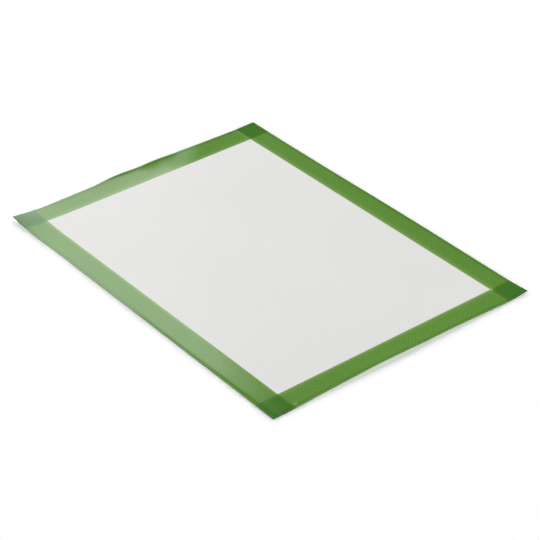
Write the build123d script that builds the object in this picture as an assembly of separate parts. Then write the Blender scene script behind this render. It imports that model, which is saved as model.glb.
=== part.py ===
from build123d import *
import os

os.makedirs("parts", exist_ok=True)

# A silicone baking mat lying on a table. X runs along its long side, Y along its short side, Z up.
# The origin is the middle of the mat's footprint, on the table. All sizes are in millimetres.

mat_length = 400.0
mat_width = 296.0
border_width = 24.0  # a coloured band, from the mat's edge to the band's inner line
edge_bead = 1.0  # the part of a band that stands out past the cut edge of the cloth
climb_width = 0.5  # inside the border line, where a short band climbs the side of a long one

cloth_thickness = 0.3
coat_thickness = 0.2  # clear silicone on each face of the cloth
band_thickness = 0.1  # coloured silicone on each face of the border

curl_height = 3.6  # the highest that an edge of the mat lifts off the table

half_length = mat_length / 2
half_width = mat_width / 2
panel_half_length = half_length - border_width
panel_half_width = half_width - border_width
cloth_half_length = half_length - edge_bead
cloth_half_width = half_width - edge_bead

# The mat's layers from the table up. The coats and the cloth lie between the legs of the bands, and
# the corners have a second leg above and below, where a short band lies over a long one.
layer_names = (
    "corner_leg_below",
    "leg_below",
    "lower_coat",
    "cloth",
    "upper_coat",
    "leg_above",
    "corner_leg_above",
)
layer_thicknesses = (
    band_thickness,
    band_thickness,
    coat_thickness,
    cloth_thickness,
    coat_thickness,
    band_thickness,
    band_thickness,
)
levels = [sum(layer_thicknesses[:count]) for count in range(len(layer_thicknesses) + 1)]
sheet_layers = {"lower_coat", "cloth", "upper_coat"}
leg_layers = {"leg_below", "leg_above"}
corner_leg_layers = {"corner_leg_below", "corner_leg_above"}

# The panel lies flat, and the border curls up from it unevenly. Each edge's lift is given at its two
# ends, where the two border lines cross it, and at the places between those, which are shares of the
# panel's half side. The lifts are shares of curl_height.
long_place_shares = (-0.70, -0.35, 0.0, 0.35, 0.70)
short_place_shares = (-0.75, -0.45, -0.20, 0.0, 0.20, 0.40, 0.70)
front_lift_shares = (0.44, 0.17, 0.14, 0.14, 0.14, 0.05, 0.02, 0.02, 0.0)
rear_lift_shares = (0.0, 0.0, 0.0, 0.06, 0.19, 0.22, 0.10, 0.03, 0.08)
left_lift_shares = (0.56, 0.14, 0.04, 0.36, 0.97, 0.78, 1.0, 0.61, 0.47, 0.31, 0.39)
right_lift_shares = (0.06, 0.03, 0.44, 0.67, 0.92, 0.81, 0.56, 0.49, 0.35, 0.06, 0.28)

# A border's lift grows with the square of the way across it, written as a cubic Bezier's heights.
across_shares = (0.0, 0.0, 1 / 3, 1.0)


def stations(place_shares, panel_half, half):
    """The places along one edge where its lift is given."""
    return [-half, -panel_half, *[share * panel_half for share in place_shares], panel_half, half]


long_stations = stations(long_place_shares, panel_half_length, half_length)
short_stations = stations(short_place_shares, panel_half_width, half_width)


def run_slopes(places, lifts):
    """The slope of an edge at each station: level on a crest or in a dip, else between its two runs."""
    spans = zip(places, places[1:], lifts, lifts[1:])
    runs = [(high - low) / (end - start) for start, end, low, high in spans]
    turns = [2 * p * q / (p + q) if p * q > 0 else 0.0 for p, q in zip(runs, runs[1:])]
    return [runs[0], *turns, runs[-1]]


def edge_curves(places, lift_shares):
    """An edge as cubic pieces: (start, end, four Bezier heights) from each station to the next."""
    lifts = [share * curl_height for share in lift_shares]
    slopes = run_slopes(places, lifts)
    pieces = []
    for index, (start, end) in enumerate(zip(places, places[1:])):
        third = (end - start) / 3
        low, high = lifts[index], lifts[index + 1]
        rise, fall = slopes[index] * third, slopes[index + 1] * third
        pieces.append((start, end, (low, low + rise, high - fall, high)))
    return pieces


front_edge = edge_curves(long_stations, front_lift_shares)
rear_edge = edge_curves(long_stations, rear_lift_shares)
left_edge = edge_curves(short_stations, left_lift_shares)
right_edge = edge_curves(short_stations, right_lift_shares)


def blend(heights, *shares):
    """One height of a Bezier curve's polar form, taken at as many shares as the curve's degree."""
    for share in shares:
        heights = [(1 - share) * low + share * high for low, high in zip(heights, heights[1:])]
    return heights[0]


def cut(heights, start, end):
    """The four Bezier heights of the part of a cubic piece between two shares of its length."""
    return [
        blend(heights, start, start, start),
        blend(heights, start, start, end),
        blend(heights, start, end, end),
        blend(heights, end, end, end),
    ]


def lift_along(edge, start, end):
    """The four Bezier heights of an edge from start to end, which lie in one piece of it."""
    middle = (start + end) / 2
    first, last, heights = next(piece for piece in edge if piece[0] <= middle <= piece[1])
    length = last - first
    return cut(heights, (start - first) / length, (end - first) / length)


def lift_across(start, end, panel_half):
    """How much of its edge's lift a cell has across the border: none on the panel, all at the edge."""
    if (start + end) / 2 < panel_half:
        return [0.0, 0.0, 0.0, 0.0]
    return cut(across_shares, (start - panel_half) / border_width, (end - panel_half) / border_width)


def cell_points(x_start, x_end, y_start, y_end, level):
    """The 4 by 4 Bezier points of one cell of the mat, at a level of its thickness."""
    left = lift_across(-x_start, -x_end, panel_half_length)
    right = lift_across(x_start, x_end, panel_half_length)
    front = lift_across(-y_start, -y_end, panel_half_width)
    rear = lift_across(y_start, y_end, panel_half_width)
    left_run = lift_along(left_edge, y_start, y_end)
    right_run = lift_along(right_edge, y_start, y_end)
    front_run = lift_along(front_edge, x_start, x_end)
    rear_run = lift_along(rear_edge, x_start, x_end)
    rows = []
    for i in range(4):
        x = x_start + (x_end - x_start) * i / 3
        row = []
        for j in range(4):
            y = y_start + (y_end - y_start) * j / 3
            sides = left[i] * left_run[j] + right[i] * right_run[j]
            ends = front[j] * front_run[i] + rear[j] * rear_run[i]
            row.append((x, y, level + sides + ends))
        rows.append(row)
    return rows


def cell_edges(points):
    """The four edges of a cell as rows of points, keyed by the step to the neighbour past each."""
    return {
        (-1, 0): points[0],
        (1, 0): points[-1],
        (0, -1): [row[0] for row in points],
        (0, 1): [row[-1] for row in points],
    }


def on_panel(x, y):
    return abs(x) < panel_half_length and abs(y) < panel_half_width


def panel_face(x_lines, y_lines, level):
    """The flat face of the panel, with a corner at each line that meets its rim."""
    xs = [x for x in x_lines if abs(x) <= panel_half_length]
    ys = [y for y in y_lines if abs(y) <= panel_half_width]
    rim = [(x, ys[0], level) for x in xs] + [(xs[-1], y, level) for y in ys[1:]]
    rim += [(x, ys[-1], level) for x in xs[-2::-1]] + [(xs[0], y, level) for y in ys[-2:0:-1]]
    return Face(Wire.make_polygon([Vector(point) for point in rim], close=True))


def layered_solid(x_lines, y_lines, layers_at):
    """The closed solid of the cells whose layers layers_at(x, y) names, between the given lines."""
    middles = {
        (i, j): ((x_lines[i] + x_lines[i + 1]) / 2, (y_lines[j] + y_lines[j + 1]) / 2)
        for i in range(len(x_lines) - 1)
        for j in range(len(y_lines) - 1)
    }
    filled = {cell: layers_at(*middle) for cell, middle in middles.items()}
    faces = []
    for (i, j), layers in filled.items():
        for index, name in enumerate(layer_names):
            if name not in layers:
                continue
            below = index == 0 or layer_names[index - 1] not in layers
            above = index == len(layer_names) - 1 or layer_names[index + 1] not in layers
            span = (x_lines[i], x_lines[i + 1], y_lines[j], y_lines[j + 1])
            bottom = cell_points(*span, levels[index])
            top = cell_points(*span, levels[index + 1])
            if below and not on_panel(*middles[i, j]):
                faces.append(Face.make_bezier_surface(bottom))
            if above and not on_panel(*middles[i, j]):
                faces.append(Face.make_bezier_surface(top))
            low_edges, high_edges = cell_edges(bottom), cell_edges(top)
            for step in low_edges:
                beside = (i + step[0], j + step[1])
                if name not in filled.get(beside, ()):
                    faces.append(Face.make_bezier_surface([low_edges[step], high_edges[step]]))
    panel_layers = layers_at(0.0, 0.0)
    for index, name in enumerate(layer_names):
        if name in panel_layers:
            faces.append(panel_face(x_lines, y_lines, levels[index]))
            faces.append(panel_face(x_lines, y_lines, levels[index + 1]))
    return Solid(Shell(faces))


def lines(*places):
    """The lines that cells are cut along, in order, each once."""
    return sorted(set(places))


long_lines = lines(-cloth_half_length, *long_stations[1:-1], cloth_half_length)
short_lines = lines(-cloth_half_width, *short_stations[1:-1], cloth_half_width)


def sheet_piece(layer):
    """One layer of the sheet: the cloth or a coat, as long and as wide as the cloth."""
    return layered_solid(long_lines, short_lines, lambda x, y: {layer})


def long_band(side):
    """A band round a long edge, on the front for side -1 and on the rear for side 1."""
    y_lines = lines(side * panel_half_width, side * cloth_half_width, side * half_width)

    def layers_at(x, y):
        if abs(y) < panel_half_width:
            return set()
        if abs(y) < cloth_half_width:
            return leg_layers
        return leg_layers | sheet_layers

    return layered_solid(long_lines, y_lines, layers_at)


def short_band(side):
    """A band round a short edge and over the ends of both long bands, on the left for side -1."""
    x_lines = lines(side * panel_half_length, side * cloth_half_length, side * half_length)
    climb_line = panel_half_width - climb_width
    y_lines = lines(-half_width, *short_lines, -climb_line, climb_line, half_width)

    def layers_at(x, y):
        if abs(x) < panel_half_length:
            return set()
        if abs(y) < climb_line:
            layers = set(leg_layers)
        elif abs(y) < panel_half_width:
            layers = leg_layers | corner_leg_layers
        else:
            layers = set(corner_leg_layers)
        if abs(x) > cloth_half_length:
            layers |= leg_layers | sheet_layers
        return layers

    return layered_solid(x_lines, y_lines, layers_at)


pieces = {
    "glass_cloth": sheet_piece("cloth"),
    "lower_silicone_coat": sheet_piece("lower_coat"),
    "upper_silicone_coat": sheet_piece("upper_coat"),
    "front_long_band": long_band(-1),
    "rear_long_band": long_band(1),
    "left_short_band": short_band(-1),
    "right_short_band": short_band(1),
}
for name, piece in pieces.items():
    export_step(piece, f"parts/{name}.step")
    print(name, piece.is_valid, round(piece.volume, 1), "cubic millimetres")
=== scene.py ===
# %% [markdown]
# # A silicone baking mat
#
# The mat is a sheet of woven glass between two coats of clear silicone. A border of green silicone
# is folded round its four edges. It lies on a table, and its edges curl up by a few millimetres.
# A sheet this thin has no bulk to model, so its likeness lives in three places: the soft wave of the
# outline, the weave that shows through the silicone, and the light that slides over it.

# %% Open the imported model
import math

import bpy
import numpy as np
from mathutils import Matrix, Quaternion, Vector


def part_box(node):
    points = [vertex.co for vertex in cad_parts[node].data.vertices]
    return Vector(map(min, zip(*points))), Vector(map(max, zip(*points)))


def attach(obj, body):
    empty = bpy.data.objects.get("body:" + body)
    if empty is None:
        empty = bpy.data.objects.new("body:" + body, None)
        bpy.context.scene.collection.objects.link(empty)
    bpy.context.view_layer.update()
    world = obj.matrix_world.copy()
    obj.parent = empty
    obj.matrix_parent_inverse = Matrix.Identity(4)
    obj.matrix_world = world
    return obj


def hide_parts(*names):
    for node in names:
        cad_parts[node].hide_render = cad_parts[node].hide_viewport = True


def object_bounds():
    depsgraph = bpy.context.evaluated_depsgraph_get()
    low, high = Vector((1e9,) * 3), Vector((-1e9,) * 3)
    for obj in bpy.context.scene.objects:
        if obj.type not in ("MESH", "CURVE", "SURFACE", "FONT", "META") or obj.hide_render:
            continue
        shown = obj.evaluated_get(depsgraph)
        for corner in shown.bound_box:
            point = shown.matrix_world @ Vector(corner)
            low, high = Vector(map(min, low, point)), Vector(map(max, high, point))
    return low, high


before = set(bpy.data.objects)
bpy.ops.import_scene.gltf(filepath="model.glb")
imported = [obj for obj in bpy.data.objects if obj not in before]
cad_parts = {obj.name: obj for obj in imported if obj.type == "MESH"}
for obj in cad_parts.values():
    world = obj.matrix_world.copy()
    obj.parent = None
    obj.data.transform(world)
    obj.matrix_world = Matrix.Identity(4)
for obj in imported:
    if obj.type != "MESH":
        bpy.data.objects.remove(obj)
cad_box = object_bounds()
print("pieces in the packed model:", sorted(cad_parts))
print("its box in metres:", [[round(v, 5) for v in corner] for corner in cad_box])

# %% [markdown]
# ## The camera first
#
# A flat sheet is judged by the slant of its edges, so the camera is settled before any mesh. A long
# lens from nearly two metres away keeps the edges almost parallel. Two turns aim it: one round the
# upright axis and one down to the table. A third, tiny one tilts the picture.

# %% Place the camera
camera_place = Vector((1.23551, -0.97137, 1.03356))
camera_azimuth, camera_elevation, camera_roll = 51.588, 33.748, -0.465
camera_lens, camera_sensor = 134.29, 36.0


def look(azimuth, elevation, roll=0.0):
    """The turn of a camera that looks along +Y, then turned by azimuth, aimed down and rolled."""
    across = Quaternion((0, 0, 1), math.radians(azimuth))
    down = Quaternion((1, 0, 0), math.radians(90 - elevation))
    return across @ down @ Quaternion((0, 0, 1), math.radians(roll))


camera = bpy.data.objects.new("camera", bpy.data.cameras.new("camera"))
camera.data.lens, camera.data.sensor_width = camera_lens, camera_sensor
camera.rotation_mode = "QUATERNION"
camera.location = camera_place
camera.rotation_quaternion = look(camera_azimuth, camera_elevation, camera_roll)
bpy.context.scene.collection.objects.link(camera)
bpy.context.scene.camera = camera
bpy.context.scene.view_settings.view_transform = "Standard"
sight = look(camera_azimuth, camera_elevation) @ Vector((0, 0, -1))
print("the camera looks along", tuple(round(v, 4) for v in sight))

# %% [markdown]
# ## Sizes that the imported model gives
#
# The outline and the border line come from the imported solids, so the dressed mat can't drift away
# from them. The layers are listed from the table up. The coloured film is a tenth of a millimetre
# thick, and the corners carry two of them, one band over the other.

# %% Read the outline and name the layers
mm = 0.001
half_length, half_width = cad_box[1].x, cad_box[1].y
cloth_half_length, cloth_half_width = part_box("glass_cloth")[1].xy
panel_half_length = -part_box("left_short_band")[1].x
panel_half_width = -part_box("front_long_band")[1].y
border_width = half_width - panel_half_width
lower_coat_level, cloth_level, upper_coat_level, coat_top = 0.2 * mm, 0.4 * mm, 0.7 * mm, 0.9 * mm
film_thickness = 0.1 * mm
middle_level = (lower_coat_level + coat_top) / 2
cloth_size = f"{2 * cloth_half_length / mm:.0f} by {2 * cloth_half_width / mm:.0f} mm"
print(f"border {border_width / mm:.1f} mm wide, cloth {cloth_size}")

# %% [markdown]
# ## How the mat lies
#
# Every layer shares one height map, so the layers never cut through each other. The panel is flat,
# but for a gentle rise towards the left front corner. Each edge lifts by its own amount, given at a
# few places along it, and a cubic curve runs from place to place. Across the border the lift grows
# with the square of the way, as a springy strip curls. Here and there the last few millimetres
# turn up in a small lip, which shows as a thin dark line. A cloth simulation could drape the mat,
# but it would lie flatter, and its curl couldn't be set edge by edge.

# %% Describe the curl of each edge
curl_height = 3.6 * mm
long_places = np.array((-0.70, -0.35, 0.0, 0.35, 0.70)) * panel_half_length
short_places = np.array((-0.75, -0.45, -0.20, 0.0, 0.20, 0.40, 0.70)) * panel_half_width
front_lifts = (0.0, 0.06, 0.14, 0.14, 0.14, 0.05, 0.02, 0.02, 0.0)
rear_lifts = (0.0, 0.0, 0.0, 0.06, 0.19, 0.22, 0.10, 0.03, 0.08)
left_lifts = (0.0, 0.0, 0.14, 0.25, 0.50, 0.42, 0.14, -0.04, 0.03, 0.03, 0.06)
right_lifts = (0.06, 0.06, 0.20, 0.52, 0.70, 0.67, 0.53, 0.50, 0.28, 0.06, 0.28)
farthest_share = 1.05  # a little past the rim, so that the rim itself isn't cut off
tip_lift, tip_reach = 4.0 * mm, 60 * mm
lip_height, lip_power = 0.5 * mm, 6
left_lips = (0.0, 0.0, 0.0, 0.1, 1.0, 0.1, 1.0, 0.6, 0.1, 0.3, 0.0)
front_lips = (0.0, 0.0, 0.1, 0.1, 0.2, 0.3, 0.3, 0.3, 0.3)


def with_ends(places, panel_half, half):
    """The places along one edge, with the border lines and the edge's two ends added."""
    return np.concatenate([[-half, -panel_half], places, [panel_half, half]])


long_stations = with_ends(long_places, panel_half_length, half_length)
short_stations = with_ends(short_places, panel_half_width, half_width)


def along_edge(stations, values, along):
    """Values along an edge: a cubic between stations, level at each crest and dip of the values.

    The slope at a station is the harmonic mean of its two runs' slopes, or nought where they turn.
    """
    values = np.array(values)
    runs = np.diff(values) / np.diff(stations)
    before, after = runs[:-1], runs[1:]
    safe = np.where(before * after > 0, before + after, 1)
    turns = np.where(before * after > 0, 2 * before * after / safe, 0)
    slopes = np.concatenate([runs[:1], turns, runs[-1:]])
    index = np.clip(np.searchsorted(stations, along) - 1, 0, len(runs) - 1)
    span = stations[index + 1] - stations[index]
    t = np.clip((along - stations[index]) / span, 0, 1)
    start, end = (1 + 2 * t) * (1 - t) ** 2, t * t * (3 - 2 * t)
    leave, arrive = t * (1 - t) ** 2, t * t * (t - 1)
    return (
        start * values[index] + end * values[index + 1]
        + span * (leave * slopes[index] + arrive * slopes[index + 1])
    )


def climb(place, panel_half):
    """How much of an edge's lift a place has: the square of its share of the way over the border."""
    return np.clip((place - panel_half) / border_width, 0, farthest_share) ** 2


def raised_tip(x, y):
    """The left front corner's gentle rise: the square of a place's nearness to its tip."""
    nearness = 1 - np.hypot(x + half_length, y + half_width) / tip_reach
    return tip_lift * np.maximum(nearness, 0) ** 2


def mat_lift(x, y):
    """The four edges' lifts, the lips of two of them and the corner's rise, all added up."""
    ends = climb(-x, panel_half_length) * along_edge(short_stations, left_lifts, y)
    ends += climb(x, panel_half_length) * along_edge(short_stations, right_lifts, y)
    sides = climb(-y, panel_half_width) * along_edge(long_stations, front_lifts, x)
    sides += climb(y, panel_half_width) * along_edge(long_stations, rear_lifts, x)
    lips = climb(-x, panel_half_length) ** lip_power * along_edge(short_stations, left_lips, y)
    lips += climb(-y, panel_half_width) ** lip_power * along_edge(long_stations, front_lips, x)
    return (ends + sides) * curl_height + lips * lip_height + raised_tip(x, y)


probe = np.linspace(-half_width, half_width, 5)
print("lift of the far short edge in mm:", np.round(mat_lift(np.full(5, -half_length), probe) / mm, 2))

# %% [markdown]
# ## A hand-cut outline
#
# The mat was trimmed by hand, so three of its edges wander by less than a millimetre, and the far
# short edge bows out by up to three and a half. Its corners are cut nearly square. Each piece's
# mesh is a grid, and a grid has straight edges and square corners. One map pushes each edge out or
# in by its wander, and bends the last millimetre of every corner into a quarter circle. Each
# layer goes through the same map, so they stay together. The amounts below are in millimetres.

# %% Let the edges wander and round the corners
corner_radius = 1.0 * mm
front_wander = (0.1, 0.2, -0.6, -0.3, -0.1, 0.0, 0.1, 0.4, 0.6)
rear_wander = (0.0, -0.1, -0.2, -0.2, 0.0, 0.0, 0.0, 0.0, 0.0)
left_wander = (-0.6, -0.5, 0.3, 0.7, 2.0, 2.0, 3.5, 3.2, 2.2, 1.4, 2.1)
right_wander = (0.55, 0.4, -0.2, -0.2, -0.2, 0.1, 0.2, 0.1, 0.2, 0.4, -0.1)


def wander(place, panel_half, stations, amounts, along):
    """How far points move out: their edge's wander by the square of their way over the border."""
    return climb(place, panel_half) * along_edge(stations, amounts, along) * mm


def trim_outline(x, y):
    """Moves points out by their edge's wander, then rounds the corners.

    A corner's square goes onto a quarter disc: each share of the way through it is multiplied by
    the root of 1 less half the other share's square.
    """
    out_x = wander(x, panel_half_length, short_stations, right_wander, y)
    out_x = out_x - wander(-x, panel_half_length, short_stations, left_wander, y)
    out_y = wander(y, panel_half_width, long_stations, rear_wander, x)
    out_y = out_y - wander(-y, panel_half_width, long_stations, front_wander, x)
    a = np.clip((np.abs(x) - half_length + corner_radius) / corner_radius, 0, 1)
    b = np.clip((np.abs(y) - half_width + corner_radius) / corner_radius, 0, 1)
    pull_x = a * (1 - np.sqrt(1 - b * b / 2)) * corner_radius
    pull_y = b * (1 - np.sqrt(1 - a * a / 2)) * corner_radius
    return x - np.sign(x) * pull_x + out_x, y - np.sign(y) * pull_y + out_y


tip = trim_outline(np.array([half_length]), np.array([half_width]))
print("a corner's tip moves to", [round(float(v[0]) / mm, 2) for v in tip], "mm")

# %% [markdown]
# ## From arrays to a piece
#
# All pieces are closed skins made of four-sided faces. The helper below fills a mesh straight
# from arrays, which is far quicker than adding points one by one. It also works out the volume
# inside the skin: a positive volume proves that the faces point outwards.

# %% Turn points and faces into a piece
crease_angle = math.radians(45)


def enclosed(points, quads):
    """Volume inside a closed skin: each face's pyramid from the origin, added up with its sign."""
    a, b, c, d = (points[quads[:, k]] for k in range(4))
    return float(np.einsum("ij,ij->", np.cross(a, b), c) + np.einsum("ij,ij->", np.cross(a, c), d)) / 6


def make_piece(name, points, quads):
    """A mesh object at the origin from points in metres and four point numbers a face."""
    mesh = bpy.data.meshes.new(name)
    mesh.vertices.add(len(points))
    mesh.vertices.foreach_set("co", points.astype(np.float32).ravel())
    mesh.loops.add(quads.size)
    mesh.loops.foreach_set("vertex_index", quads.astype(np.int32).ravel())
    mesh.polygons.add(len(quads))
    mesh.polygons.foreach_set("loop_start", np.arange(0, quads.size, 4, dtype=np.int32))
    mesh.update(calc_edges=True)
    mesh.shade_smooth()
    mesh.set_sharp_from_angle(angle=crease_angle)
    piece = bpy.data.objects.new(name, mesh)
    bpy.context.scene.collection.objects.link(piece)
    volume = enclosed(points, quads) / mm**3
    print(f"{name}: {2 * len(quads)} triangles, {volume:.0f} cubic mm inside")
    return piece


def grid_quads(numbers):
    """The four-sided faces of a grid of point numbers, anticlockwise when rows run along X."""
    corners = numbers[:-1, :-1], numbers[1:, :-1], numbers[1:, 1:], numbers[:-1, 1:]
    return np.stack(corners, axis=-1).reshape(-1, 4)


# %% [markdown]
# ## The sheet: woven glass between two coats
#
# Each layer of the sheet is two grids, one over the other, with a strip of faces round the rim. The
# coats are smooth. The glass cloth has a grid point at every crossing of two yarns, and the points
# rise and dip in turn like a chessboard, because at each crossing the yarn on top changes over.

# %% Make a closed sheet from two height maps
yarn_pitch_x, yarn_pitch_y = 1.994 * mm, 1.788 * mm
yarn_wave = 0.04 * mm
cloth_gap = 0.04 * mm


def laid_sheet(name, xs, ys, top, bottom):
    """A grid at height top over a grid at height bottom, both lifted as the mat is, and a rim."""
    x, y = np.meshgrid(xs, ys, indexing="ij")
    lift = mat_lift(x, y)
    cut_x, cut_y = trim_outline(x, y)
    faces = [np.stack([cut_x, cut_y, lift + level], axis=-1) for level in (top, bottom)]
    numbers = np.arange(x.size).reshape(x.shape)
    sides = numbers[:-1, 0], numbers[-1, :-1], numbers[:0:-1, -1], numbers[0, :0:-1]
    ring = np.concatenate(sides)
    ahead = np.roll(ring, -1)
    upper = grid_quads(numbers)
    rim = np.stack([ring + x.size, ahead + x.size, ahead, ring], axis=-1)
    quads = np.concatenate([upper, upper[:, ::-1] + x.size, rim])
    return make_piece(name, np.concatenate(faces).reshape(-1, 3), quads)


def even_lines(half, panel_half, coarse, fine):
    """Grid lines from one edge to the other: coarse over the panel and fine over the border."""
    border = np.linspace(panel_half, half, max(2, round((half - panel_half) / fine) + 1))
    panel = np.linspace(-panel_half, panel_half, round(2 * panel_half / coarse) + 1)
    return np.concatenate([-border[:0:-1], panel, border[1:]])


def crossing_lines(half, pitch):
    """A grid line for each yarn a third of a pitch or more inside the edges, and one at each edge."""
    count = int((half - pitch / 3) // pitch)
    return np.concatenate([[-half], pitch * np.arange(-count, count + 1), [half]])


print("yarns in ten centimetres:", round(100 * mm / yarn_pitch_x), "and", round(100 * mm / yarn_pitch_y))

# %% [markdown]
# ### The three layers
#
# The coats need close points only where the border curls, so their grids are coarser on the panel.
# The cloth could be hundreds of separate yarns, but they would touch at every crossing, and the
# coats hide them on all sides. One wavy sheet with a point at each crossing is enough.

# %% Make the three layers
panel_step, border_step = 3 * mm, 1.5 * mm
coat_xs = even_lines(cloth_half_length, panel_half_length, panel_step, border_step)
coat_ys = even_lines(cloth_half_width, panel_half_width, panel_step, border_step)
upper_coat = laid_sheet("upper_coat_clear_silicone", coat_xs, coat_ys, coat_top, upper_coat_level)
lower_coat = laid_sheet("lower_coat_clear_silicone", coat_xs, coat_ys, cloth_level, lower_coat_level)

cloth_xs = crossing_lines(cloth_half_length, yarn_pitch_x)
cloth_ys = crossing_lines(cloth_half_width, yarn_pitch_y)
crossing = np.add.outer(np.arange(len(cloth_xs)), np.arange(len(cloth_ys)))
wave = yarn_wave * (-1.0) ** crossing
glass_cloth = laid_sheet(
    "woven_glass_cloth", cloth_xs, cloth_ys,
    wave + upper_coat_level - cloth_gap, wave + cloth_level + cloth_gap,
)

# %% [markdown]
# ## The bands: a film folded round each edge
#
# A band is one profile carried along an edge. Its skin starts thin at the border line, runs out over
# the coat, rounds the cut edge of the cloth in a small bead and comes back underneath. Its lining
# follows the coats and the cloth's edge. Skin and lining have the same number of points, so a
# band's two ends close with plain four-sided faces. The film feathers out at the border line, where
# the wet silicone was squeezed flat.

# %% Draw the profile of a band
feather_depth, feather_reach = 0.5, 2.5 * mm
bead_depth, bead_half_height = 0.7 * mm, 0.45 * mm
bead_start = border_width - bead_depth
lining_edge = cloth_half_width - panel_half_width
near_line_ways = (0, 0.05, 0.15, 0.4, 0.8, 1.3, 2, 3, 4.2, 6, 8)
near_rim_ways = (11, 14, 17, 19, 20, 20.6, 21.2, 21.8, 22.3, 22.8)
leg_ways = np.array(near_line_ways + near_rim_ways) * mm
bead_points = 15
bead_turns = np.linspace(math.pi / 2, -math.pi / 2, bead_points)


def film_share(way):
    """Film thickness at a way across the border, as a share of the full film: 1 less a decay."""
    return 1 - feather_depth * np.exp(-np.maximum(way, 0) / feather_reach)


def skin_profile():
    """The skin's ways across and its sides, from 1 on top to -1 below: out, round the bead, back."""
    bead_ways = bead_start + bead_depth * np.cos(bead_turns)
    bead_rises = np.sin(bead_turns)
    ways = np.concatenate([leg_ways, bead_ways, leg_ways[::-1]])
    sides = np.concatenate([np.ones(len(leg_ways)), bead_rises, -np.ones(len(leg_ways))])
    return ways, sides


skin_ways, skin_sides = skin_profile()
lining_ways = np.minimum(skin_ways, lining_edge)
print("a profile has", len(skin_ways), "points on its skin")

# %% [markdown]
# ### Where a short band climbs a long one
#
# The short bands were laid last, so at each corner they ride over the ends of the long bands.
# Their film steps up by the long band's thickness just before the border line, and at the very end
# it dips with the long band's bead. The two films together make the darker square at each corner,
# and the step is the square's crisp side.

# %% Work out the step at the corners
step_run = 0.8 * mm
bead_limit = 0.98  # short of the rim, where a quarter of an ellipse would stand upright


def smooth_step(value, start, end):
    """0 before start, 1 after end, and an even S between them."""
    t = np.clip((value - start) / (end - start), 0, 1)
    return t * t * (3 - 2 * t)


def bead_drop(way):
    """How far a long band's bead has rounded down at a way across it: a quarter of an ellipse."""
    t = np.clip((way - bead_start) / bead_depth, 0, bead_limit)
    return bead_half_height * (1 - np.sqrt(1 - t * t))


def corner_rise(along):
    """How much a short band is raised at places along it, by the long band under it."""
    way = np.abs(along) - panel_half_width
    return film_thickness * smooth_step(way, -step_run, 0) * film_share(way) - bead_drop(way)


step_height = corner_rise(np.array([panel_half_width + border_width / 2]))[0]
print("a short band's step at a corner:", round(step_height / mm, 3), "mm")

# %% [markdown]
# ### The film's thickness as an attribute
#
# A thin film of green silicone lets the white sheet shine through, and a thick one hides it. Near
# the rim the film count is also changed to paint light and shade: it is raised in a darker strip
# two or three millimetres inside the rim, lowered over the bead's shoulder as a painted highlight,
# and raised most on the rim itself as painted shadow. The mesh is much too coarse to hold the
# weave, but it is right for this slow change, so each point of a band keeps one number: how many
# films lie over the sheet there. The slopes below are distances from the rim, in millimetres.

# %% Count the films over a place
# near the rim: a darker strip, a painted highlight on the shoulder, painted shadow on the rim
strip_film, shoulder_highlight_film, rim_shadow_films = 1.35, 0.65, (1.9, 4.0)
strip_slopes = (1.3, 2.2), (3.0, 4.0)
shoulder_highlight_slopes = (0.3, 0.5), (0.9, 1.2)
rim_shadow_slope = (0.1, 0.35)


def inside_of(distance, slope):
    """1 nearer than a slope's start, 0 farther than its end, and an even S between them."""
    return smooth_step(-distance, -slope[1] * mm, -slope[0] * mm)


def between(distance, rise, fall):
    """0, then 1 from the end of the rise to the start of the fall, then 0 again."""
    return inside_of(distance, fall) * smooth_step(distance, rise[0] * mm, rise[1] * mm)


def films_over(x, y, axis):
    """Films over the sheet: a band's, the other's in corners, and painted light and shade by the rim."""
    ways = np.abs(x) - panel_half_length, np.abs(y) - panel_half_width
    film = film_share(ways[axis])
    if axis == 0:
        film = film + np.where(ways[1] > 0, film_share(ways[1]), 0)
    to_rim = border_width - np.maximum(*ways)
    strip, shoulder = between(to_rim, *strip_slopes), between(to_rim, *shoulder_highlight_slopes)
    film = film * (1 + (strip_film - 1) * strip) * (1 + (shoulder_highlight_film - 1) * shoulder)
    return film * (1 + (rim_shadow_films[axis] - 1) * inside_of(to_rim, rim_shadow_slope))


print("films on the rim, short bands and long:", rim_shadow_films)

# %% [markdown]
# ### The profile on its way along an edge
#
# A curve with a bevel could sweep the profile, but here it changes on its way: it lifts with the mat
# and steps up at the corners. So the points of each station are worked out as one row of an array,
# and faces join each row to the next. Two caps close the ends.

# %% Carry the profile along an edge
least_film = 0.02 * mm


def end_caps(numbers):
    """The faces that close a band's two ends, each from its skin's points to its lining's."""
    half = numbers.shape[1] // 2
    caps = []
    for row, turn in ((numbers[0], 1), (numbers[-1], -1)):
        skin, lining = row[:half], row[:half - 1:-1]
        cap = np.stack([skin[:-1], skin[1:], lining[1:], lining[:-1]], axis=-1)
        caps.append(cap[:, ::turn])
    return caps


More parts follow.
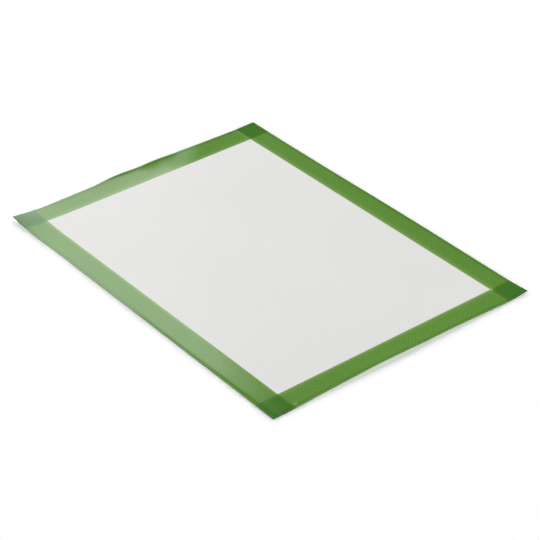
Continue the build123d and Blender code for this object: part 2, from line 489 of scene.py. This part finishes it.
def make_band(name, side, axis, along):
    """A band on one side of the mat: axis 0 is a short band across X, 1 a long band across Y.

    A point is at its place along the edge, at the border line plus its way across, and at the
    middle level plus its side times half the mat's thickness there.
    """
    panel_half = (panel_half_length, panel_half_width)[axis]
    rise = corner_rise(along)[:, None] if axis == 0 else np.zeros((len(along), 1))
    skin_half = bead_half_height - film_thickness + rise + film_thickness * film_share(skin_ways)
    lining_half = (coat_top - lower_coat_level) / 2 + rise
    lining_half = np.minimum(lining_half, skin_half - least_film)
    shell, films = [], []
    for ways, halves in ((skin_ways, skin_half), (lining_ways, lining_half)):
        across = np.broadcast_to(side * (panel_half + ways), skin_half.shape)
        run = np.broadcast_to(along[:, None], skin_half.shape)
        x, y = (across, run) if axis == 0 else (run, across)
        level = middle_level + skin_sides * halves + mat_lift(x, y)
        cut_x, cut_y = trim_outline(x, y)
        shell.append(np.stack([cut_x, cut_y, level], axis=-1))
        films.append(films_over(x, y, axis))
    points = np.concatenate([shell[0], shell[1][:, ::-1]], axis=1)
    film = np.concatenate([films[0], films[1][:, ::-1]], axis=1)
    count = points.shape[1]
    numbers = np.arange(points.shape[0] * count).reshape(-1, count)
    walls = grid_quads(np.concatenate([numbers, numbers[:, :1]], axis=1))
    quads = np.concatenate([walls, *end_caps(numbers)])
    flat = points.reshape(-1, 3)
    if enclosed(flat, quads) < 0:
        quads = quads[:, ::-1]
    band = make_piece(name, flat, quads)
    kept = band.data.attributes.new("film", "FLOAT", "POINT")
    kept.data.foreach_set("value", film.astype(np.float32).ravel())
    print(f"{name}: film from {film.min():.2f} to {film.max():.2f}")
    return band


# %% [markdown]
# ### Stations along the bands
#
# A station is a place along an edge where the profile is set down. They are two millimetres apart,
# and closer where the short bands step up, so that the dark corner squares get a crisp edge.

# %% Make the four bands
station_gap = 2 * mm
long_count = round(2 * cloth_half_length / station_gap) + 1
long_along = np.linspace(-cloth_half_length, cloth_half_length, long_count)
step_ways = np.array((-0.9, -0.8, -0.6, -0.4, -0.2, -0.01, 0.01, 0.3, 1, 2, 3, 4.5)) * mm
tip_ways = np.array((22.5, 23, 23.3, 23.5, 23.65, 23.8, 23.9)) * mm
corner_ways = np.concatenate([step_ways, np.arange(6, 22, 2) * mm, tip_ways]) + panel_half_width
panel_reach, panel_count = panel_half_width - 1.5 * mm, 124
panel_along = np.linspace(-panel_reach, panel_reach, panel_count)
short_along = np.concatenate([-corner_ways[::-1], panel_along, corner_ways])

front_band = make_band("green_band_front", -1, 1, long_along)
rear_band = make_band("green_band_rear", 1, 1, long_along)
left_band = make_band("green_band_left", -1, 0, short_along)
right_band = make_band("green_band_right", 1, 0, short_along)

# %% [markdown]
# ## A small kit for paint
#
# A procedural material is a graph of nodes, and its sums are easier to read as Python than as
# wires. The class Wire wraps one output of a node. A sum or a product with it adds the Math node that
# works it out, also where a plain number stands first. The class Paint holds the nodes of a material
# or of the room, and any other node comes from its method node.

# %% Wrap a socket so that Python's arithmetic makes nodes
class Wire:
    """One output of a node, on which arithmetic adds Math nodes."""

    def __init__(self, paint, socket):
        self.paint, self.socket = paint, socket

    def math(self, operation, *others, clamp=False):
        """The wire out of a Math node that takes this wire first and the others after it."""
        values = dict(enumerate((self, *others)))
        return self.paint.node("Math", {"operation": operation, "use_clamp": clamp}, values)

    def clamped(self):
        """This wire's value, kept from 0 to 1."""
        return self.math("ADD", 0.0, clamp=True)

    def __add__(self, other):
        return self.math("ADD", other)

    def __mul__(self, other):
        return self.math("MULTIPLY", other)

    def __sub__(self, other):
        return self.math("SUBTRACT", other)

    def __rsub__(self, other):
        return self * -1 + other

    __radd__, __rmul__ = __add__, __mul__


class Paint:
    """The nodes of a new material or world, and the methods that add to them."""

    def __init__(self, painted):
        self.painted = painted
        painted.use_nodes = True
        self.tree = painted.node_tree
        self.tree.nodes.clear()

    def node(self, kind, settings=None, inputs=None, output=0):
        """Adds a shader node, sets it up, then fills or links its sockets."""
        made = self.tree.nodes.new("ShaderNode" + kind)
        for setting, value in (settings or {}).items():
            if setting == "stops":
                while len(made.color_ramp.elements) < len(value):
                    made.color_ramp.elements.new(0.5)
                for stop, (place, level) in zip(made.color_ramp.elements, value):
                    stop.position, stop.color = place, level
            else:
                setattr(made, setting, value)
        for socket, value in (inputs or {}).items():
            if isinstance(value, Wire):
                self.tree.links.new(value.socket, made.inputs[socket])
            else:
                made.inputs[socket].default_value = value
        return Wire(self, made.outputs[output])

    def mix(self, factor, first, second):
        """A colour that goes from the first to the second as the factor goes from 0 to 1."""
        inputs = {"Factor": factor, 6: first, 7: second}
        return self.node("Mix", {"data_type": "RGBA"}, inputs, output=2)

    def finish(self, surface, kind="Material"):
        """Sends the surface to the output of a Material or World and returns what is painted."""
        output = self.tree.nodes.new("ShaderNodeOutput" + kind)
        self.tree.links.new(surface.socket, output.inputs["Surface"])
        return self.painted


def linear(red, green, blue):
    """A colour as a painter reads it, 0 to 255, as the light levels that a shader needs."""
    levels = np.array((red, green, blue)) / 255
    return np.where(levels > 0.04045, ((levels + 0.055) / 1.055) ** 2.4, levels / 12.92)


def colour(values, alpha=1.0):
    """Three light levels as the four plain numbers of a colour socket."""
    return (*(float(v) for v in values), alpha)


print("a panel white of 226, 226, 224 is", np.round(linear(226, 226, 224), 3))

# %% [markdown]
# ## Plain weave from two cosines
#
# In a plain weave each yarn goes over one neighbour and under the next. Take a cosine along X that
# changes sign from each crossing to the next, and one along Y. Their product says which of the two
# yarns is on top, and their sizes say how near the crown of a yarn is. That gives the height of the
# weave at any place, at the yarns' real spacing, with no image. One more value grows towards the
# near corner, where the weave shows most, and the paints use it to turn the weave up there: a
# painted highlight where the yarns catch the gleam.

# %% Weave heights from Object coordinates
mean_crown = 0.52
near_lean, near_growth, near_start = 0.5, 8, 0.6


def weave(paint):
    """Four wires: the place, the crown, which yarn is on top, and nearness to the near corner.

    The crown is the upper yarn's height, 0 to 1: a quarter of the two cosines' sizes and twice
    their product's. The third is their product, -1 to 1. The last is 0 over most of the mat.
    """
    place = paint.node("TexCoord", output="Object")
    split = paint.node("SeparateXYZ", inputs={0: place})
    x, y = split, Wire(paint, split.socket.node.outputs[1])
    along = (x * (math.pi / yarn_pitch_x)).math("COSINE")
    across = (y * (math.pi / yarn_pitch_y)).math("COSINE")
    over = along * across
    crown = (along.math("ABSOLUTE") + across.math("ABSOLUTE") + over.math("ABSOLUTE") * 2) * 0.25
    # nearness to the near corner, which the paints use for a painted highlight on the yarns
    near = ((x * near_lean - y) * near_growth - near_start).clamped()
    return place, crown, over, near


def spots(paint, place, where):
    """A wire that falls from 1 in the middle of each round spot to 0 at its rim.

    A spot is given as x, y and radius, in millimetres.
    """
    flat = paint.node("VectorMath", {"operation": "MULTIPLY"}, {0: place, 1: (1, 1, 0)})
    found = 0
    for x, y, radius in where:
        ends = {0: flat, 1: (x * mm, y * mm, 0)}
        gap = paint.node("VectorMath", {"operation": "DISTANCE"}, ends, output="Value")
        found = (1 - gap * (1 / (radius * mm))).clamped() + found
    return found


print("the near corner's value grows from", near_start / near_growth, "m along its slanted way")

# %% [markdown]
# ## Clear silicone over the weave
#
# The coats are clear, but they are soaked into the glass, so what one sees is a milky satin white
# with the yarns faintly in it. The yarns' crowns are a little lighter than the gaps, and the two
# directions of yarn differ by a trace, as painted shade for the way each direction takes the light.
# Slow clouds in the tone stand for the uneven coat, and a few small grey specks for dust. In each
# pair below, the first number holds everywhere, and the second is added towards the near corner as
# a painted highlight, where the yarns catch the gleam.

# %% Mix the panel's white
coat_white, coat_grey = linear(253, 253, 251), linear(222, 222, 220)
coat_crown_and_glint, coat_over_shade = (0.3, 1.8), (0.17, 0.25)
coat_shade, cloud_shade, dust_shade = 0.44, 0.2, 1.2
dust = ((24, 40, 1.2), (71, -7, 1.0), (-69, -87, 1.0), (49, -60, 0.8), (-40, 105, 0.8))
silicone_ior = 1.41


def paint_coat():
    """Milky silicone: white mixed towards grey in the gaps of the weave and in slow clouds."""
    paint = Paint(bpy.data.materials.new("clear_silicone_on_glass"))
    place, crown, over, near = weave(paint)
    cloud = paint.node("TexNoise", inputs={"Vector": place, "Scale": 9.0, "Detail": 2.0})
    # painted highlight: stronger weave towards the near corner; painted shade: which yarn is on top
    yarns = (mean_crown - crown) * (coat_crown_and_glint[0] + near * coat_crown_and_glint[1])
    yarns = yarns + over * (coat_over_shade[0] + near * coat_over_shade[1])
    shade = coat_shade + yarns + (cloud - 0.5) * cloud_shade
    shade = shade + spots(paint, place, dust) * dust_shade
    tone = paint.mix(shade.clamped(), colour(coat_white), colour(coat_grey))
    height = paint.node("Bump", inputs={"Strength": 0.5, "Distance": 0.04 * mm, "Height": crown})
    grain = paint.node("TexNoise", inputs={"Vector": place, "Scale": 60.0, "Detail": 3.0})
    surface = paint.node("BsdfPrincipled", inputs={
        "Base Color": tone, "Roughness": 0.30 + grain * 0.10, "IOR": silicone_ior,
        "Specular IOR Level": 0.16, "Normal": height,
    })
    return paint.finish(surface)


print("the coat goes from", np.round(coat_white, 3), "to", np.round(coat_grey, 3))

# %% [markdown]
# ## Green silicone
#
# The green is a filter over the white sheet. Each film takes away the same share of the light that
# the one before let through, until only the pigment's own deep green is left. So one rule
# gives the pale line at the feathered edge, the plain border and the dark corner squares. The rule is
# worked out at a few film counts and put in a colour ramp. The ramp's last stop is darker than the
# rule: it is painted shadow on the rim. A few round spots have less film, as on the real mat.

# %% Mix the bands' green
pigment = np.array((0.038, 0.158, 0.009))
film_passes = np.array((0.098, 0.196, 0.029))
sheet_white = linear(235, 235, 233)
most_films = 4.0
# the ramp's last stop: painted shadow on the rim, nearly black-green
rim_shadow_green = np.array((0.022, 0.05, 0.018))
thin_spots = ((177, 125, 3.5), (196, -121, 2.5), (194, 30, 1.2), (193, -95, 1.2), (191, -62, 1.2))
ramp_counts = (0.0, 0.25, 0.5, 0.75, 1.0, 1.3, 1.7, 2.2, 3.2)
band_crown_and_glint, band_over_shade = (0.15, 1.05), (0.10, -0.06)
band_film, cloud_film, thin_film = (0.985, 0.09), 0.14, 0.5


def filtered(films):
    """Colour under so many films: the pigment, plus the white's excess times a share per film."""
    return pigment + (sheet_white - pigment) * film_passes**films


def paint_band():
    """Green silicone: the film count, thinner over each yarn's crown, sets the colour."""
    paint = Paint(bpy.data.materials.new("green_silicone_film"))
    place, crown, over, near = weave(paint)
    films = paint.node("Attribute", {"attribute_name": "film"}, output="Fac")
    cloud = paint.node("TexNoise", inputs={"Vector": place, "Scale": 40.0, "Detail": 3.0})
    # painted highlight: stronger weave towards the near corner; painted shade: which yarn is on top
    yarns = (mean_crown - crown) * (band_crown_and_glint[0] + near * band_crown_and_glint[1])
    yarns = yarns + over * (band_over_shade[0] + near * band_over_shade[1])
    share = band_film[0] + near * band_film[1] + yarns + (cloud - 0.5) * cloud_film
    local = films * (share - spots(paint, place, thin_spots) * thin_film)
    stops = [(count / most_films, colour(filtered(count))) for count in ramp_counts]
    stops.append((1.0, colour(rim_shadow_green)))
    tone = paint.node("ValToRGB", {"stops": stops}, {"Fac": local * (1 / most_films)})
    height = paint.node("Bump", inputs={"Strength": 0.4, "Distance": 0.03 * mm, "Height": crown})
    surface = paint.node("BsdfPrincipled", inputs={
        "Base Color": tone, "Roughness": 0.04 + cloud * 0.03, "IOR": silicone_ior, "Normal": height,
    })
    return paint.finish(surface)


print("one film looks", np.round(filtered(1), 3), "and two look", np.round(filtered(2), 3))

# %% [markdown]
# ## Woven glass
#
# The cloth is hidden between its coats, but it is a piece of its own, so it gets its own finish:
# bright glass yarns with a silky gleam, and painted shade where two yarns dip past each other.

# %% Mix the glass cloth's white
gap_shade_grey, crown_white = linear(176, 178, 176), linear(240, 240, 236)
glass_ior = 1.52


def paint_cloth():
    """Glass yarns painted light on the crowns and grey shade in the gaps, one direction a little
    glossier.
    """
    paint = Paint(bpy.data.materials.new("glass_yarn"))
    _, crown, over, _ = weave(paint)
    tone = paint.mix(crown, colour(gap_shade_grey), colour(crown_white))
    height = paint.node("Bump", inputs={"Strength": 1.0, "Distance": 0.1 * mm, "Height": crown})
    surface = paint.node("BsdfPrincipled", inputs={
        "Base Color": tone, "Roughness": 0.35 + over * 0.05, "IOR": glass_ior, "Normal": height,
    })
    return paint.finish(surface)


print("the cloth goes from", np.round(gap_shade_grey, 3), "to", np.round(crown_white, 3))

# %% [markdown]
# ## Hanging the pieces on the frame
#
# Each piece takes the place of one imported solid and rides on the mat's only body.

# %% Dress the pieces and hang them on the frame
coat_paint, band_paint, cloth_paint = paint_coat(), paint_band(), paint_cloth()
dress = {
    upper_coat: (coat_paint, "upper_silicone_coat", "clear_silicone"),
    lower_coat: (coat_paint, "lower_silicone_coat", "clear_silicone"),
    glass_cloth: (cloth_paint, "glass_cloth", "woven_glass"),
    front_band: (band_paint, "front_long_band", "green_silicone"),
    rear_band: (band_paint, "rear_long_band", "green_silicone"),
    left_band: (band_paint, "left_short_band", "green_silicone"),
    right_band: (band_paint, "right_short_band", "green_silicone"),
}
for piece, (paint, node, slot) in dress.items():
    piece.data.materials.append(paint)
    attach(piece, "root")
    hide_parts(node)
print("pieces dressed:", len(dress))

# %% [markdown]
# ## A white table
#
# The table is one large sheet. It is painted whiter to the camera than it is to other light, so the
# picture's ground is white and the mat isn't washed out by it. It is milky: light sinks in and comes
# out some 16 mm away, which softens the mat's shadow as white stone does. It also glows a little, so
# that the ground is a full white, and more under the mat, where the lifted edges would look black.
# The glow under the mat is painted light for the light that passes through the thin mat, tinted
# green by the border.

# %% Lay the table
table_half = 6.0
table_depth = 16 * mm
white, pale_grey, under_mat_light_tint = colour((1, 1, 1)), colour((0.8, 0.8, 0.8)), colour((0.9, 1, 0.88))
glow_level, under_glow, glow_soft = 0.165, 0.35, 2 * mm


def paint_table():
    """White and glowing where the camera or a reflection sees it, pale grey to all other light."""
    paint = Paint(bpy.data.materials.new("white_table"))
    camera_ray = paint.node("LightPath", output="Is Camera Ray")
    path = camera_ray.socket.node
    seen = camera_ray.math("MAXIMUM", Wire(paint, path.outputs["Is Glossy Ray"]))
    seen = seen.math("MAXIMUM", Wire(paint, path.outputs["Is Transmission Ray"]))
    tone = paint.mix(seen, pale_grey, white)
    stone = paint.node("BsdfPrincipled", {"subsurface_method": "BURLEY"}, {
        "Base Color": tone, "Roughness": 0.9, "Specular IOR Level": 0.0, "Subsurface Weight": 1.0,
        "Subsurface Radius": (1.0, 1.0, 1.0), "Subsurface Scale": table_depth,
    })
    split = paint.node("SeparateXYZ", inputs={0: paint.node("TexCoord", output="Object")})
    x, y = (Wire(paint, split.socket.node.outputs[k]).math("ABSOLUTE") for k in (0, 1))
    inside = (half_length - x).math("MINIMUM", half_width - y)
    inside = (inside * (1 / glow_soft) + 0.5).clamped()
    # painted light under the mat: a green tint for light that has passed through the mat
    tint = paint.mix(inside, white, under_mat_light_tint)
    level = seen * (inside * under_glow + glow_level)
    times = {"data_type": "RGBA", "blend_type": "MULTIPLY"}
    glow_colour = paint.node("Mix", times, {"Factor": 1.0, 6: tint, 7: level}, output=2)
    glow = paint.node("Emission", inputs={"Color": glow_colour, "Strength": 1.0})
    return paint.finish(paint.node("AddShader", inputs={0: stone, 1: glow}))


corners = table_half * np.array(((-1, -1, 0), (1, -1, 0), (1, 1, 0), (-1, 1, 0)), float)
table_mesh = bpy.data.meshes.new("table")
table_mesh.from_pydata(corners, [], [(0, 1, 2, 3)])
table_mesh.materials.append(paint_table())
table = bpy.data.objects.new("table", table_mesh)
bpy.context.scene.collection.objects.link(table)
print("the table is", 2 * table_half, "m wide")

# %% [markdown]
# ## Light
#
# Three soft lights: the room, a wide light overhead, and a tall one behind the mat on its far left.
# The overhead light leans in from the far left too, so the soft shadow falls along the mat's near
# edges. It is hidden from reflections, because its disc would lie on the mat as a pale veil. The
# tall one is what gives the mat its milky gleam on the left. Its near edge shows as the upright
# line where the gleam ends, so its place was found by following the camera's line of sight to
# the mat and off again, as off a mirror.

# %% Light the room and hang the two soft lights
def lit_room(strength):
    """An even room: pale to the camera, and dimmed to the given strength for all other light."""
    paint = Paint(bpy.data.worlds.new("room"))
    camera_ray = paint.node("LightPath", output="Is Camera Ray")
    level = paint.node("Mix", inputs={"Factor": camera_ray, 2: strength, 3: 1.0})
    background = paint.node("Background", inputs={"Strength": level})
    bpy.context.scene.world = paint.finish(background, "World")


def soft_light(name, place, aim, size, radiance):
    """A flat light of size (width, height) at a place, facing its aim, of an even brightness."""
    lamp = bpy.data.lights.new(name, "AREA")
    lamp.shape, lamp.size, lamp.size_y = "RECTANGLE", *size
    lamp.energy = radiance * math.pi * size[0] * size[1]
    light = bpy.data.objects.new(name, lamp)
    light.location = place
    light.rotation_mode = "QUATERNION"
    light.rotation_quaternion = (Vector(aim) - Vector(place)).to_track_quat("-Z", "Y")
    light.visible_camera = False
    bpy.context.scene.collection.objects.link(light)
    return light


def broad_sun(name, direction, angle, level):
    """A wide light from far away, in no reflection, that gives a level surface this much light."""
    lamp = bpy.data.lights.new(name, "SUN")
    lamp.angle = math.radians(angle)
    toward = Vector(direction).normalized()
    lamp.energy = level * math.pi / toward.z
    light = bpy.data.objects.new(name, lamp)
    light.rotation_mode = "QUATERNION"
    light.rotation_quaternion = toward.to_track_quat("Z", "Y")
    light.visible_glossy = False
    bpy.context.scene.collection.objects.link(light)


def gleam_light(azimuth, reach, edge_height, size, lean, drop, radiance):
    """A tall light behind the mat: its right edge leans, and passes a height over a far point.

    The point lies reach metres from the mat's middle, at an azimuth from the X axis.
    """
    way = Vector((math.cos(azimuth), math.sin(azimuth), 0))
    right = Vector((way.y, -way.x, 0))
    up = Vector((0, 0, 1))
    rise = right * math.sin(lean) + up * math.cos(lean)
    across = right * math.cos(lean) - up * math.sin(lean)
    place = way * reach + up * edge_height - rise * drop - across * size[0] / 2
    light = soft_light("gleam_light", place, place - way, size, radiance)
    light.rotation_quaternion = light.rotation_quaternion @ Quaternion((0, 0, 1), lean)


lit_room(strength=0.32)
broad_sun("overhead_light", direction=(-0.8, 0.6, 1.0), angle=100, level=0.498)
gleam_light(
    azimuth=math.radians(144.9), reach=1.88, edge_height=1.26, size=(1.6, 1.25),
    lean=math.radians(12.1), drop=-0.15, radiance=2.95,
)
lights = [thing.name for thing in bpy.context.scene.objects if thing.type == "LIGHT"]
print("lights besides the room:", lights)
